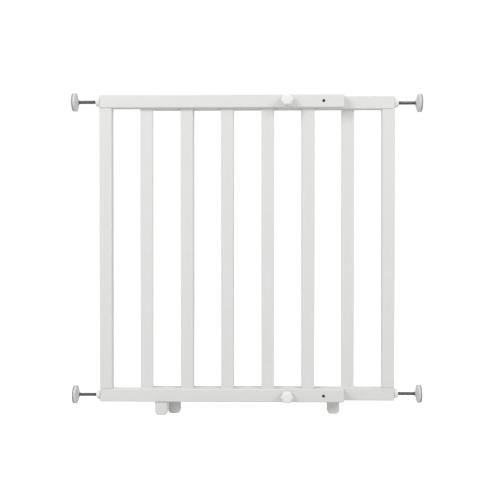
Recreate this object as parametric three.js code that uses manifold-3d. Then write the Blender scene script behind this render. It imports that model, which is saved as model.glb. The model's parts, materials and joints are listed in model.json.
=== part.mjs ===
// Extending pressure-fit safety gate in painted wood. Two slatted frames slide past each other and are
// clamped by two knobs; four threaded spindles with hand nuts press round pads against the door jambs.
//
// Millimetres, +Z up. +X runs along the doorway and -Y faces whoever stands in front of the gate. The origin
// is the middle of the gate's box, on the floor. Inside, the gate is drawn from the left end of the front
// frame (x = 0), from the front face of the front rails (y = 0) and from the floor (z = 0).
import * as THREE from "three";
import { RoundedBoxGeometry } from "three/addons/geometries/RoundedBoxGeometry.js";
import { mergeVertices } from "three/addons/utils/BufferGeometryUtils.js";
import Module from "manifold-3d";

const wasm = await Module();
wasm.setup();

// ---- Driving dimensions ----

// Gap between pieces that touch, and radial play of a turning or sliding fit.
const CLEARANCE = 0.3;

// Frames
const FRAME_HEIGHT = 700;
const RAIL_HEIGHT = 30;
const RAIL_DEPTH = 21;
const RAIL_EDGE_RADIUS = 2.5;
const POST_WIDTH = 29;
const SLAT_COUNT = 5;
const SLAT_WIDTH = 29;
const SLAT_THICKNESS = 9;
const SLAT_EDGE_RADIUS = 2;
const SLAT_GAP = 63.3;
// Wood left in the rail behind a slat, rail length past the last slat, and how deep a slat enters the rail.
const SLAT_BACK_WALL = 4;
const RAIL_OVERHANG = 67;
const TENON_DEPTH = 8;
// Air between the two frames, and how many rear slats stand hidden behind front slats.
const FRAME_GAP = 1;
const HIDDEN_SLATS = 4;

// Dowels that join each post to its rails
const DOWEL_DIAMETER = 8;
const DOWEL_IN_RAIL = 7;
const DOWEL_IN_POST = 23;

// Feet
const FOOT_WIDTH = 28;
const FOOT_DEPTH = 15;
const FOOT_HEIGHT = 31;
const FOOT_CORNER_RADIUS = 8;
const FOOT_FROM_OUTER_END = 140;
const FOOT_FROM_INNER_END = 50;
const FOOT_SCREW_DIAMETER = 4;
const FOOT_SCREW_HEAD_DIAMETER = 7;
const FOOT_SCREW_HEAD_HEIGHT = 3;
const FOOT_RECESS_DEPTH = 12;
const FOOT_SCREW_TIP_COVER = 1.7;

// Clamps: bolt through a hole in the front rail and a slot in the rear rail, knob in front
const BOLT_DIAMETER = 6;
const BOLT_FROM_INNER_END = 130;
const SPARE_HOLE_FROM_INNER_END = 47;
const BOLT_HEAD_DIAMETER = 16;
const BOLT_HEAD_HEIGHT = 4;
const BOLT_NECK_LENGTH = 4;
const BOLT_IN_KNOB = 13;
const SLOT_FROM_INNER_END = 77;
const SLOT_FROM_OUTER_END = 132.5;
const WASHER_THICKNESS = 1.5;
const FRONT_WASHER_DIAMETER = 18;
const BACK_WASHER_DIAMETER = 20;
const KNOB_DIAMETER = 28;
const KNOB_LENGTH = 20;
const KNOB_COLLAR_DIAMETER = 20;
const KNOB_COLLAR_LENGTH = 3;
const KNOB_LOBES = 6;
const KNOB_LOBE_DEPTH = 2.4;
const KNOB_EDGE_RADIUS = 3;
const INSERT_ACROSS_FLATS = 10;
const INSERT_LENGTH = 8;

// Spindles, one at each corner
const SPINDLE_DIAMETER = 8;
const SPINDLE_EXPOSED = 40;
const SPINDLE_IN_RAIL = 60;
const SPINDLE_IN_PAD = 8;
const SPINDLE_BORE_DEPTH = 100;
const SPINDLE_BORE_PLAY = 1;
const BUSHING_WALL = 1.2;
const BUSHING_LENGTH = 20;
const NUT_FLANGE_DIAMETER = 23;
const NUT_FLANGE_LENGTH = 3;
const NUT_GRIP_DIAMETER = 20;
const NUT_GRIP_LENGTH = 5.3;
const NUT_GRIP_RIBS = 12;
const NUT_GRIP_RIB_DEPTH = 0.9;
const PAD_DIAMETER = 42;
const PAD_RIM_LENGTH = 5;
const PAD_CUP_LENGTH = 10.3;
const PAD_HUB_DIAMETER = 15;
const PAD_HUB_LENGTH = 2.5;
const PAD_RUBBER_INSET = 0.5;
const PAD_RUBBER_THICKNESS = 3;
const PAD_RUBBER_EDGE = 0.8;

// ---- Sizes that follow ----

const slatPitch = SLAT_WIDTH + SLAT_GAP;
const frameLength = POST_WIDTH + SLAT_COUNT * slatPitch + RAIL_OVERHANG;
const slatRecess = RAIL_DEPTH - SLAT_THICKNESS - SLAT_BACK_WALL;
const innerHeight = FRAME_HEIGHT - 2 * RAIL_HEIGHT;
const bottomRailZ = FOOT_HEIGHT + RAIL_HEIGHT / 2;
const topRailZ = FOOT_HEIGHT + FRAME_HEIGHT - RAIL_HEIGHT / 2;
const rearFrameY = RAIL_DEPTH + FRAME_GAP;
const firstSlatEdge = POST_WIDTH + SLAT_GAP;
// With this overall length each hidden rear slat stands exactly behind a front slat.
const gateLength = 2 * firstSlatEdge + SLAT_WIDTH + (2 * SLAT_COUNT - 1 - HIDDEN_SLATS) * slatPitch;
const boltHoleRadius = BOLT_DIAMETER / 2 + CLEARANCE;
const spindleFitRadius = SPINDLE_DIAMETER / 2 + CLEARANCE;
const bushingRadius = spindleFitRadius + BUSHING_WALL;
const nutLength = NUT_FLANGE_LENGTH + NUT_GRIP_LENGTH;
const padStart = CLEARANCE + nutLength + SPINDLE_EXPOSED;
const knobBackY = -(2 * CLEARANCE + WASHER_THICKNESS);
const boltHeadY = rearFrameY + RAIL_DEPTH + 2 * CLEARANCE + WASHER_THICKNESS;
const padBackY = rearFrameY + (RAIL_DEPTH + PAD_DIAMETER) / 2;
const footScrewInRail = RAIL_HEIGHT / 2 - boltHoleRadius - FOOT_SCREW_TIP_COVER;

const BORE_SEGMENTS = 14;
const ROUND_SEGMENTS = 24;
const EDGE_SEGMENTS = 1;
const PAD_DOME_STEPS = 4;
const HEAD_DOME_STEPS = 4;

// ---- Materials ----

const finish = (color, roughness, metalness = 0) =>
  new THREE.MeshStandardMaterial({ color, roughness, metalness });
const PAINTED_WOOD = finish(0xf0f0ee, 0.5);
const BARE_WOOD = finish(0xd8bd8e, 0.8);
const WHITE_PLASTIC = finish(0xf4f4f2, 0.4);
const WHITE_RUBBER = finish(0xe4e4e0, 0.8);
const ZINC_STEEL = finish(0xa9abad, 0.35, 1);

// ---- Solid and mesh helpers ----

// A closed three.js geometry as a manifold-3d solid.
function solidOf(geometry) {
  const bare = new THREE.BufferGeometry();
  const source = geometry.index ? geometry.toNonIndexed() : geometry;
  bare.setAttribute("position", source.getAttribute("position"));
  const merged = mergeVertices(bare, 1e-4);
  const vertProperties = new Float32Array(merged.getAttribute("position").array);
  const triVerts = new Uint32Array(merged.index.array);
  return new wasm.Manifold(new wasm.Mesh({ numProp: 3, vertProperties, triVerts }));
}

function geometryOf(solid) {
  const mesh = solid.getMesh();
  const geometry = new THREE.BufferGeometry();
  geometry.setAttribute("position", new THREE.BufferAttribute(mesh.vertProperties, 3));
  geometry.setIndex(new THREE.BufferAttribute(mesh.triVerts, 1));
  geometry.computeVertexNormals();
  return geometry;
}

// One geometry cut by others.
function cut(geometry, cutters) {
  const left = cutters.reduce((solid, cutter) => solid.subtract(solidOf(cutter)), solidOf(geometry));
  return geometryOf(left);
}

function join(first, second) {
  return geometryOf(solidOf(first).add(solidOf(second)));
}

function addPiece(group, name, geometry, material, x = 0, y = 0, z = 0) {
  const mesh = new THREE.Mesh(geometry, material);
  mesh.name = name;
  mesh.position.set(x, y, z);
  group.add(mesh);
}

// A round bar on the X axis from x0 to x1.
function barX(radius, x0, x1, segments) {
  const bar = new THREE.CylinderGeometry(radius, radius, Math.abs(x1 - x0), segments);
  return bar.rotateZ(Math.PI / 2).translate((x0 + x1) / 2, 0, 0);
}

// A round bar along Y through (x, z), from y0 to y1.
function barY(radius, y0, y1, segments, x = 0, z = 0) {
  const bar = new THREE.CylinderGeometry(radius, radius, Math.abs(y1 - y0), segments);
  return bar.translate(x, (y0 + y1) / 2, z);
}

// A round bar along Z through (x, y), from z0 to z1.
function barZ(radius, z0, z1, segments, x = 0, y = 0) {
  const bar = new THREE.CylinderGeometry(radius, radius, Math.abs(z1 - z0), segments);
  return bar.rotateX(Math.PI / 2).translate(x, y, (z0 + z1) / 2);
}

// A round section cut by its own axis: points are [radius, height], turned about +Z.
function turned(points, segments = ROUND_SEGMENTS) {
  const profile = points.map(([radius, height]) => new THREE.Vector2(radius, height));
  return new THREE.LatheGeometry(profile, segments).rotateX(Math.PI / 2);
}

// A flat ring or sleeve about +Z, from height 0 to the given height.
function ring(innerRadius, outerRadius, height, segments) {
  const inner = [innerRadius, 0];
  const outline = [inner, [outerRadius, 0], [outerRadius, height], [innerRadius, height], inner];
  return turned(outline, segments);
}

// A bar along Z with a rectangular section whose four edges are rounded, from z0 to z1.
function roundedBarZ(width, depth, radius, z0, z1) {
  const x = width / 2 - radius;
  const y = depth / 2 - radius;
  const section = new THREE.Shape();
  section.absarc(x, -y, radius, -Math.PI / 2, 0);
  section.absarc(x, y, radius, 0, Math.PI / 2);
  section.absarc(-x, y, radius, Math.PI / 2, Math.PI);
  section.absarc(-x, -y, radius, Math.PI, 1.5 * Math.PI);
  const settings = { depth: z1 - z0, bevelEnabled: false, curveSegments: EDGE_SEGMENTS };
  return new THREE.ExtrudeGeometry(section, settings).translate(0, 0, z0);
}

// A grip about +Z from height 0: a round outline with soft ribs or lobes and rounded end edges.
function grip({ diameter, length, lobes, lobeDepth, edge, edgeSteps, pointsPerLobe }) {
  const count = lobes * pointsPerLobe;
  const middle = (diameter - lobeDepth) / 2 - edge;
  const outline = Array.from({ length: count }, (_, i) => {
    const angle = (2 * Math.PI * i) / count;
    const radius = middle + (lobeDepth / 2) * Math.cos(lobes * angle);
    return new THREE.Vector2(radius * Math.cos(angle), radius * Math.sin(angle));
  });
  const bevel = { bevelSize: edge, bevelThickness: edge, bevelSegments: edgeSteps };
  const settings = { depth: length - 2 * edge, ...bevel };
  return new THREE.ExtrudeGeometry(new THREE.Shape(outline), settings).translate(0, 0, edge);
}

// ---- Frames ----

// A frame is drawn from its outer end: u runs from there to the inner end, and x = way * u.
const front = { name: "front", way: 1, x: 0, y: 0 };
const rear = { name: "rear", way: -1, x: gateLength, y: rearFrameY };

const slatCentres = Array.from(
  { length: SLAT_COUNT },
  (_, i) => firstSlatEdge + SLAT_WIDTH / 2 + i * slatPitch,
);
const slatCentreY = slatRecess + SLAT_THICKNESS / 2;

// The pocket that a slat's end enters, on the inner edge of a rail (side is +1 for the bottom rail).
function mortise(frame, u, side) {
  const floor = RAIL_HEIGHT / 2 - TENON_DEPTH - CLEARANCE;
  const mouth = RAIL_HEIGHT / 2 + 1;
  const [z0, z1] = side > 0 ? [floor, mouth] : [-mouth, -floor];
  const width = SLAT_WIDTH + 2 * CLEARANCE;
  const thickness = SLAT_THICKNESS + 2 * CLEARANCE;
  const pocket = roundedBarZ(width, thickness, SLAT_EDGE_RADIUS + CLEARANCE, z0, z1);
  return pocket.translate(frame.way * u, slatCentreY, 0);
}

// The rail's end is bored for the spindle, wider at the mouth for its bushing.
function spindleBores(frame) {
  const axisY = RAIL_DEPTH / 2;
  const bushing = bushingRadius + CLEARANCE;
  const spindle = SPINDLE_DIAMETER / 2 + SPINDLE_BORE_PLAY;
  const bushingEnd = BUSHING_LENGTH + 2 * CLEARANCE;
  return [
    barX(bushing, -frame.way, frame.way * bushingEnd, BORE_SEGMENTS).translate(0, axisY, 0),
    barX(spindle, -frame.way, frame.way * SPINDLE_BORE_DEPTH, BORE_SEGMENTS).translate(0, axisY, 0),
  ];
}

function dowelBore(frame, side) {
  const floor = RAIL_HEIGHT / 2 - DOWEL_IN_RAIL - CLEARANCE;
  const mouth = RAIL_HEIGHT / 2 + 1;
  const radius = DOWEL_DIAMETER / 2 + CLEARANCE;
  const x = (frame.way * POST_WIDTH) / 2;
  return barZ(radius, side * floor, side * mouth, BORE_SEGMENTS, x, RAIL_DEPTH / 2);
}

// Round holes in the front rails; one long slot in each rear rail, so that the frames can slide.
function clampCuts(frame) {
  const hole = (u) => barY(boltHoleRadius, -1, RAIL_DEPTH + 1, BORE_SEGMENTS, frame.way * u, 0);
  if (frame === front) {
    return [hole(frameLength - BOLT_FROM_INNER_END), hole(frameLength - SPARE_HOLE_FROM_INNER_END)];
  }
  const from = SLOT_FROM_OUTER_END;
  const to = frameLength - SLOT_FROM_INNER_END;
  const middle = new THREE.BoxGeometry(to - from, RAIL_DEPTH + 2, 2 * boltHoleRadius);
  middle.translate((frame.way * (from + to)) / 2, RAIL_DEPTH / 2, 0);
  return [hole(from), middle, hole(to)];
}

function footPositions(frame) {
  const outer = { name: `${frame.name}_outer_foot`, u: FOOT_FROM_OUTER_END };
  const inner = { name: `${frame.name}_inner_foot`, u: frameLength - FOOT_FROM_INNER_END };
  return frame === front ? [outer] : [outer, inner];
}

function footPilotHoles(frame) {
  const floor = -RAIL_HEIGHT / 2 + footScrewInRail + CLEARANCE;
  const radius = FOOT_SCREW_DIAMETER / 2 + CLEARANCE;
  return footPositions(frame).map(({ u }) =>
    barZ(radius, -RAIL_HEIGHT / 2 - 1, floor, BORE_SEGMENTS, frame.way * u, RAIL_DEPTH / 2),
  );
}

function rail(frame, side) {
  const bar = new RoundedBoxGeometry(frameLength, RAIL_DEPTH, RAIL_HEIGHT, EDGE_SEGMENTS, RAIL_EDGE_RADIUS);
  bar.translate((frame.way * frameLength) / 2, RAIL_DEPTH / 2, 0);
  const mortises = slatCentres.map((u) => mortise(frame, u, side));
  const pilots = side > 0 ? footPilotHoles(frame) : [];
  return cut(bar, [
    ...mortises,
    ...spindleBores(frame),
    dowelBore(frame, side),
    ...clampCuts(frame),
    ...pilots,
  ]);
}

function post() {
  const half = innerHeight / 2 - CLEARANCE;
  const bar = roundedBarZ(POST_WIDTH, RAIL_DEPTH, RAIL_EDGE_RADIUS, -half, half);
  const radius = DOWEL_DIAMETER / 2 + CLEARANCE;
  const floor = innerHeight / 2 - DOWEL_IN_POST - CLEARANCE;
  return cut(bar, [
    barZ(radius, floor, half + 1, BORE_SEGMENTS),
    barZ(radius, -half - 1, -floor, BORE_SEGMENTS),
  ]);
}

function dowel(side) {
  const joint = -side * (innerHeight / 2);
  const radius = DOWEL_DIAMETER / 2;
  return barZ(radius, joint - side * DOWEL_IN_RAIL, joint + side * DOWEL_IN_POST, BORE_SEGMENTS);
}

function slat() {
  const half = innerHeight / 2 + TENON_DEPTH;
  return roundedBarZ(SLAT_WIDTH, SLAT_THICKNESS, SLAT_EDGE_RADIUS, -half, half);
}

// A block with rounded lower corners, recessed from below for its screw; its top is at z = FOOT_HEIGHT.
function foot() {
  const half = FOOT_WIDTH / 2;
  const top = FOOT_HEIGHT - CLEARANCE;
  const outline = new THREE.Shape();
  outline.moveTo(half, top);
  outline.lineTo(-half, top);
  outline.absarc(-half + FOOT_CORNER_RADIUS, FOOT_CORNER_RADIUS, FOOT_CORNER_RADIUS, Math.PI, 1.5 * Math.PI);
  outline.absarc(half - FOOT_CORNER_RADIUS, FOOT_CORNER_RADIUS, FOOT_CORNER_RADIUS, -Math.PI / 2, 0);
  const settings = { depth: FOOT_DEPTH, bevelEnabled: false, curveSegments: 4 };
  const block = new THREE.ExtrudeGeometry(outline, settings);
  block.translate(0, 0, -FOOT_DEPTH / 2).rotateX(Math.PI / 2);
  const recess = FOOT_SCREW_HEAD_DIAMETER / 2 + CLEARANCE;
  const shank = FOOT_SCREW_DIAMETER / 2 + CLEARANCE;
  return cut(block, [
    barZ(recess, -1, FOOT_RECESS_DEPTH, BORE_SEGMENTS),
    barZ(shank, 0, FOOT_HEIGHT + 1, BORE_SEGMENTS),
  ]);
}

// Drawn from the floor, as its foot is.
function footScrew() {
  const headTop = FOOT_RECESS_DEPTH - CLEARANCE;
  const headBottom = headTop - FOOT_SCREW_HEAD_HEIGHT;
  const shank = FOOT_SCREW_DIAMETER / 2;
  const tip = FOOT_HEIGHT + footScrewInRail;
  const head = FOOT_SCREW_HEAD_DIAMETER / 2;
  const points = [
    [0, headBottom],
    [head, headBottom],
    [head, headTop],
    [shank, headTop],
    [shank, tip - shank],
    [0, tip],
  ];
  return turned(points, BORE_SEGMENTS);
}

function addFrame(gate, frame) {
  const group = new THREE.Group();
  group.position.set(frame.x, frame.y, 0);
  gate.add(group);
  const middleZ = (bottomRailZ + topRailZ) / 2;
  const postX = (frame.way * POST_WIDTH) / 2;
  const axisY = RAIL_DEPTH / 2;
  addPiece(group, `${frame.name}_top_rail`, rail(frame, -1), PAINTED_WOOD, 0, 0, topRailZ);
  addPiece(group, `${frame.name}_bottom_rail`, rail(frame, 1), PAINTED_WOOD, 0, 0, bottomRailZ);
  addPiece(group, `${frame.name}_post`, post(), PAINTED_WOOD, postX, axisY, middleZ);
  addPiece(group, `${frame.name}_top_dowel`, dowel(-1), BARE_WOOD, postX, axisY, middleZ);
  addPiece(group, `${frame.name}_bottom_dowel`, dowel(1), BARE_WOOD, postX, axisY, middleZ);
  slatCentres.forEach((u, i) => {
    addPiece(group, `${frame.name}_slat_${i + 1}`, slat(), PAINTED_WOOD, frame.way * u, slatCentreY, middleZ);
  });
  footPositions(frame).forEach(({ name, u }) => {
    addPiece(group, name, foot(), WHITE_PLASTIC, frame.way * u, axisY, 0);
    addPiece(group, `${name}_screw`, footScrew(), ZINC_STEEL, frame.way * u, axisY, 0);
  });
}

// ---- Spindles ----

// Pieces are drawn about +Z, which turns to point outwards: z = 0 is the rail's end.
function handNut() {
  const flangeEdge = NUT_FLANGE_LENGTH / 4;
  const flangeRadius = NUT_FLANGE_DIAMETER / 2;
  const flange = turned([
    [0, 0],
    [flangeRadius - flangeEdge, 0],
    [flangeRadius, flangeEdge],
    [flangeRadius, NUT_FLANGE_LENGTH - flangeEdge],
    [flangeRadius - flangeEdge, NUT_FLANGE_LENGTH],
    [0, NUT_FLANGE_LENGTH],
  ]);
  const overlap = NUT_FLANGE_LENGTH / 2;
  const ribbed = grip({
    diameter: NUT_GRIP_DIAMETER,
    length: NUT_GRIP_LENGTH + overlap,
    lobes: NUT_GRIP_RIBS,
    lobeDepth: NUT_GRIP_RIB_DEPTH,
    edge: NUT_GRIP_RIB_DEPTH / 2,
    edgeSteps: 1,
    pointsPerLobe: 3,
  });
  ribbed.translate(0, 0, NUT_FLANGE_LENGTH - overlap);
  const bore = barZ(spindleFitRadius, -1, nutLength + 1, BORE_SEGMENTS);
  return cut(join(flange, ribbed), [bore]);
}

// The cup's back is a low dome between its rim and its hub; the spindle's end sits in the hub.
function padCup() {
  const rim = PAD_DIAMETER / 2;
  const hub = PAD_HUB_DIAMETER / 2;
  const shoulder = PAD_CUP_LENGTH - PAD_HUB_LENGTH;
  const floor = PAD_CUP_LENGTH - SPINDLE_IN_PAD - CLEARANCE;
  const dome = new THREE.QuadraticBezierCurve(
    new THREE.Vector2(rim, PAD_RIM_LENGTH),
    new THREE.Vector2(rim - (shoulder - PAD_RIM_LENGTH), shoulder),
    new THREE.Vector2(hub, shoulder),
  );
  const domePoints = dome.getPoints(PAD_DOME_STEPS).map((point) => [point.x, point.y]);
  return turned([
    [0, 0],
    [rim, 0],
    ...domePoints,
    [hub, PAD_CUP_LENGTH],
    [spindleFitRadius, PAD_CUP_LENGTH],
    [spindleFitRadius, floor],
    [0, floor],
  ]);
}

function padRubber() {
  const radius = PAD_DIAMETER / 2 - PAD_RUBBER_INSET;
  return turned([
    [0, 0],
    [radius, 0],
    [radius, PAD_RUBBER_THICKNESS - PAD_RUBBER_EDGE],
    [radius - PAD_RUBBER_EDGE, PAD_RUBBER_THICKNESS],
    [0, PAD_RUBBER_THICKNESS],
  ]);
}

function addSpindle(gate, name, frame, railZ) {
  const group = new THREE.Group();
  group.position.set(frame.x, frame.y + RAIL_DEPTH / 2, railZ);
  group.rotation.y = (-frame.way * Math.PI) / 2;
  gate.add(group);
  const sleeve = ring(spindleFitRadius, bushingRadius, BUSHING_LENGTH, BORE_SEGMENTS);
  const rodEnd = padStart + SPINDLE_IN_PAD;
  const rod = barZ(SPINDLE_DIAMETER / 2, -SPINDLE_IN_RAIL, rodEnd, BORE_SEGMENTS);
  const cup = padCup().rotateX(Math.PI).translate(0, 0, PAD_CUP_LENGTH);
  const rubberStart = padStart + PAD_CUP_LENGTH + CLEARANCE;
  addPiece(group, `${name}_bushing`, sleeve, WHITE_PLASTIC, 0, 0, -CLEARANCE - BUSHING_LENGTH);
  addPiece(group, `${name}_nut`, handNut(), WHITE_PLASTIC, 0, 0, CLEARANCE);
  addPiece(group, `${name}_rod`, rod, ZINC_STEEL);
  addPiece(group, `${name}_pad_cup`, cup, WHITE_PLASTIC, 0, 0, padStart);
  addPiece(group, `${name}_pad_rubber`, padRubber(), WHITE_RUBBER, 0, 0, rubberStart);
}

// ---- Clamps ----

// Pieces are drawn about +Z, which turns to point to the front: z = 0 is the face they start from.
function clampBolt() {
  const shank = BOLT_DIAMETER / 2;
  const head = BOLT_HEAD_DIAMETER / 2;
  const tip = boltHeadY - knobBackY + BOLT_IN_KNOB;
  const dome = new THREE.QuadraticBezierCurve(
    new THREE.Vector2(0, -BOLT_HEAD_HEIGHT),
    new THREE.Vector2(head, -BOLT_HEAD_HEIGHT),
    new THREE.Vector2(head, 0),
  );
  const domePoints = dome.getPoints(HEAD_DOME_STEPS).map((point) => [point.x, point.y]);
  const body = turned([...domePoints, [shank, 0], [shank, tip], [0, tip]], BORE_SEGMENTS);
  // The square neck starts inside the head, so that the two join.
  const neckStart = -BOLT_HEAD_HEIGHT / 2;
  const neckEnd = 2 * CLEARANCE + WASHER_THICKNESS + BOLT_NECK_LENGTH;
  const neck = new THREE.BoxGeometry(BOLT_DIAMETER, BOLT_DIAMETER, neckEnd - neckStart);
  neck.translate(0, 0, (neckStart + neckEnd) / 2);
  return join(body, neck);
}

function hexagonZ(acrossFlats, z0, z1) {
  const radius = acrossFlats / Math.sqrt(3);
  return barZ(radius, z0, z1, 6);
}

function clampKnob() {
  const collar = barZ(KNOB_COLLAR_DIAMETER / 2, 0, KNOB_COLLAR_LENGTH + KNOB_EDGE_RADIUS, ROUND_SEGMENTS);
  const body = grip({
    diameter: KNOB_DIAMETER,
    length: KNOB_LENGTH - KNOB_COLLAR_LENGTH,
    lobes: KNOB_LOBES,
    lobeDepth: KNOB_LOBE_DEPTH,
    edge: KNOB_EDGE_RADIUS,
    edgeSteps: 2,
    pointsPerLobe: 6,
  });
  body.translate(0, 0, KNOB_COLLAR_LENGTH);
  const pocket = hexagonZ(INSERT_ACROSS_FLATS + 2 * CLEARANCE, -1, INSERT_LENGTH + 2 * CLEARANCE);
  const bore = barZ(boltHoleRadius, -1, BOLT_IN_KNOB + CLEARANCE, BORE_SEGMENTS);
  return cut(join(collar, body), [pocket, bore]);
}

function knobInsert() {
  const bore = barZ(boltHoleRadius, -1, INSERT_LENGTH + 1, BORE_SEGMENTS);
  return cut(hexagonZ(INSERT_ACROSS_FLATS, 0, INSERT_LENGTH), [bore]);
}

function addClamp(gate, name, railZ) {
  const group = new THREE.Group();
  group.position.set(frameLength - BOLT_FROM_INNER_END, 0, railZ);
  group.rotation.x = Math.PI / 2;
  gate.add(group);
  const frontWasher = ring(boltHoleRadius, FRONT_WASHER_DIAMETER / 2, WASHER_THICKNESS);
  const neckCorner = BOLT_DIAMETER / Math.SQRT2 + CLEARANCE;
  const backWasher = ring(neckCorner, BACK_WASHER_DIAMETER / 2, WASHER_THICKNESS);
  addPiece(group, `${name}_bolt`, clampBolt(), ZINC_STEEL, 0, 0, -boltHeadY);
  addPiece(group, `${name}_back_washer`, backWasher, ZINC_STEEL, 0, 0, CLEARANCE - boltHeadY);
  addPiece(group, `${name}_knob_washer`, frontWasher, ZINC_STEEL, 0, 0, CLEARANCE);
  addPiece(group, `${name}_knob_insert`, knobInsert(), ZINC_STEEL, 0, 0, CLEARANCE - knobBackY);
  addPiece(group, `${name}_knob`, clampKnob(), WHITE_PLASTIC, 0, 0, -knobBackY);
}

// ---- Assembly ----

function buildGate() {
  const gate = new THREE.Group();
  addFrame(gate, front);
  addFrame(gate, rear);
  addSpindle(gate, "left_top", front, topRailZ);
  addSpindle(gate, "left_bottom", front, bottomRailZ);
  addSpindle(gate, "right_top", rear, topRailZ);
  addSpindle(gate, "right_bottom", rear, bottomRailZ);
  addClamp(gate, "top", topRailZ);
  addClamp(gate, "bottom", bottomRailZ);
  // The box runs from pad to pad along X, and from the knobs' fronts to the rear pads' rims along Y.
  const knobFrontY = knobBackY - KNOB_LENGTH;
  gate.position.set(-gateLength / 2, -(knobFrontY + padBackY) / 2, 0);
  return gate;
}

const part = new THREE.Group();
part.add(buildGate());

export default part;
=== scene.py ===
import json
import math

import bmesh
import bpy
from bpy.props import FloatProperty, FloatVectorProperty, IntProperty, PointerProperty
from mathutils import Matrix, Vector

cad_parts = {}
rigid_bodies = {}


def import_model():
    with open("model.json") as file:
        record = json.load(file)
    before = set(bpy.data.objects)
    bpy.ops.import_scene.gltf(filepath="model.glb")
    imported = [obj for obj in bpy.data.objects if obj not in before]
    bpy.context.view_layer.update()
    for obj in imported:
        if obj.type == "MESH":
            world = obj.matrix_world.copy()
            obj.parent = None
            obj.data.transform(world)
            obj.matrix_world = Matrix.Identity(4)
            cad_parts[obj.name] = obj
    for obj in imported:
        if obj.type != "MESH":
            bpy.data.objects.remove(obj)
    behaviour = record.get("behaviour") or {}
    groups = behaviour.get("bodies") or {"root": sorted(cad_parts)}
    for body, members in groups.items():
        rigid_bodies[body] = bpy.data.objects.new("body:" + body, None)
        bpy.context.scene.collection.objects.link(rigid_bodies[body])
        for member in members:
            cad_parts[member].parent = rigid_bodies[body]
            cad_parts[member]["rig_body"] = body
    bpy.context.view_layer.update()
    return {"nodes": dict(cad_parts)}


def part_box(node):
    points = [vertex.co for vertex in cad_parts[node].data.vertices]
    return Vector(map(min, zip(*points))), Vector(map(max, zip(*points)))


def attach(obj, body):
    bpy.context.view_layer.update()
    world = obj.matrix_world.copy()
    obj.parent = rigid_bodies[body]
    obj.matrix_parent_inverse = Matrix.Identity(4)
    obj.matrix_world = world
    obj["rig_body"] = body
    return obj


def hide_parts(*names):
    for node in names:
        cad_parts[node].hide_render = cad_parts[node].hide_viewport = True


bl_info = {
    "name": "Pressure Fit Baby Gate",
    "version": (1, 0, 0),
    "blender": (4, 5, 0),
    "location": "3D View > Sidebar > Baby Gate",
    "description": "Dresses the sliding wooden frames, wall spindles and clamps of a baby gate",
    "category": "Object",
}

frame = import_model()

ROWS = ("top", "bottom")
CORNERS = ("left_top", "left_bottom", "right_top", "right_bottom")
SLATS_PER_FRAME = 5
FEET = ("front_outer", "rear_inner", "rear_outer")
SIDES = ("front", "rear")
EDGE_RUB = "edge_rub"
# Vertex mark for bores: raw wood colour, darkened as painted shade inside the openings.
BORE_WOOD_AND_SHADE = "raw_bore"
MM = 0.001
UPWARDS = Vector((0, 0, 1))
TOWARDS_FRONT = Vector((0, -1, 0))


# ---- settings


class GateFrameSettings(bpy.types.PropertyGroup):
    """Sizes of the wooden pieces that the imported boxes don't give."""

    edge_radius: FloatProperty(
        name="Edge Radius", default=0.0025, unit="LENGTH",
        description="Rounding of the long edges of rails and posts",
    )
    slat_edge_radius: FloatProperty(
        name="Slat Edge Radius", default=0.002, unit="LENGTH",
        description="Rounding of the long edges of the slats",
    )
    slat_seat: FloatProperty(
        name="Slat Seat", default=0.0015, unit="LENGTH",
        description="How far the finished slat reaches into each rail",
    )
    opening_radius: FloatProperty(
        name="Opening Radius", default=0.0033, unit="LENGTH",
        description="Radius of the bolt holes and of the slot's ends",
    )
    opening_lip: FloatProperty(
        name="Opening Lip", default=0.0004, unit="LENGTH",
        description="Softened edge of each drilled or routed opening",
    )
    spare_hole_inset: FloatProperty(
        name="Spare Hole Inset", default=0.047, unit="LENGTH",
        description="From the inner end of a front rail to its spare bolt hole",
    )
    slot_inner_inset: FloatProperty(
        name="Slot Inner Inset", default=0.077, unit="LENGTH",
        description="From the inner end of a rear rail to the slot's nearer end centre",
    )
    slot_outer_inset: FloatProperty(
        name="Slot Outer Inset", default=0.1325, unit="LENGTH",
        description="From the outer end of a rear rail to the slot's nearer end centre",
    )
    spindle_bore_radius: FloatProperty(
        name="Spindle Bore Radius", default=0.0050, unit="LENGTH",
        description="Radius of the blind bore that a spindle draws back into",
    )
    spindle_bore_depth: FloatProperty(
        name="Spindle Bore Depth", default=0.100, unit="LENGTH",
        description="Depth of the blind bore from the rail's outer end",
    )
    foot_corner_radius: FloatProperty(
        name="Foot Corner Radius", default=0.0092, unit="LENGTH",
        description="Rounding of the two lower corners of a foot",
    )
    foot_edge_radius: FloatProperty(
        name="Foot Edge Radius", default=0.0015, unit="LENGTH",
        description="Sanded edge of a foot",
    )
    screw_recess_radius: FloatProperty(
        name="Screw Recess Radius", default=0.0038, unit="LENGTH",
        description="Radius of the counterbore for a foot's screw",
    )


class GateSpindleSettings(bpy.types.PropertyGroup):
    """Sizes of the threaded rods, hand nuts and wall pads."""

    thread_pitch: FloatProperty(
        name="Thread Pitch", default=0.00125, precision=5, unit="LENGTH",
        description="Distance between two turns of the spindle's thread",
    )
    thread_depth: FloatProperty(
        name="Thread Depth", default=0.0007, precision=5, unit="LENGTH",
        description="Height of the thread from root to crest",
    )
    nut_ribs: IntProperty(
        name="Nut Ribs", default=12, min=6, max=24,
        description="Number of finger ribs round a hand nut",
    )
    nut_rib_depth: FloatProperty(
        name="Nut Rib Depth", default=0.0009, precision=5, unit="LENGTH",
        description="Height of the finger ribs",
    )
    pad_rim: FloatProperty(
        name="Pad Rim", default=0.005, unit="LENGTH",
        description="Width of the straight rim round a wall pad's cup",
    )


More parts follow.
